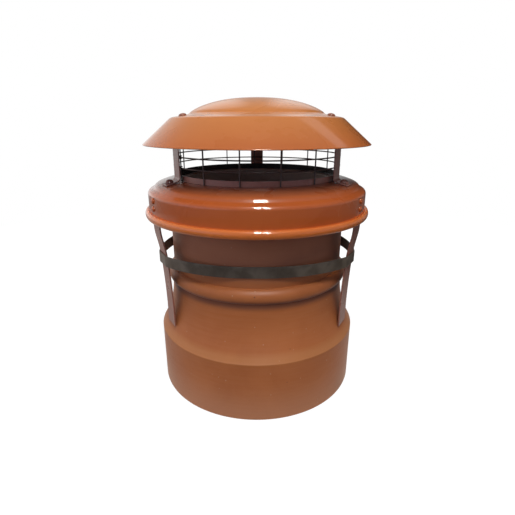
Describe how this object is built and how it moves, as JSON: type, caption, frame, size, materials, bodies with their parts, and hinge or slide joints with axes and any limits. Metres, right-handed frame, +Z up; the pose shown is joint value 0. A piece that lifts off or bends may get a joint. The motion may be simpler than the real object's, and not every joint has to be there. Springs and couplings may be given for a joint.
{
  "type": "chimney cowl",
  "caption": "Strap-on chimney cowl on a short clay chimney pot: domed cap on posts over a wire bird guard, a rolled collar, and legs drawn to the pot's neck by a steel band.",
  "frame": {"origin": "middle of the pot's underside, on the surface that it stands on", "axes": "+Z up along the pot's axis; -Y is the front, midway between the two front posts; +X to the right"},
  "size_m": [0.3116, 0.3116, 0.4013],
  "materials": {
    "fired_clay": "unglazed, matte",
    "terracotta_paint": "gloss",
    "brown_paint": "gloss",
    "guard_wire": "satin",
    "band_steel": "satin"
  },
  "bodies": {
    "root": {"clay_pot": "fired_clay", "collar": "terracotta_paint", "neck_ring": "brown_paint", "bird_guard": "guard_wire", "cap": "terracotta_paint", "strap": "band_steel", "cap_post_left": "brown_paint", "leg_left": "brown_paint", "cap_rivet_left": "brown_paint", "post_bolt_left": "brown_paint", "leg_rivet_upper_left": "terracotta_paint", "leg_rivet_lower_left": "terracotta_paint", "cap_post_right": "brown_paint", "leg_right": "brown_paint", "cap_rivet_right": "brown_paint", "post_bolt_right": "brown_paint", "leg_rivet_upper_right": "terracotta_paint", "leg_rivet_lower_right": "terracotta_paint", "cap_post_back": "brown_paint", "leg_back": "brown_paint", "cap_rivet_back": "brown_paint", "post_bolt_back": "brown_paint", "leg_rivet_upper_back": "terracotta_paint", "leg_rivet_lower_back": "terracotta_paint"}
  },
  "joints": []
}
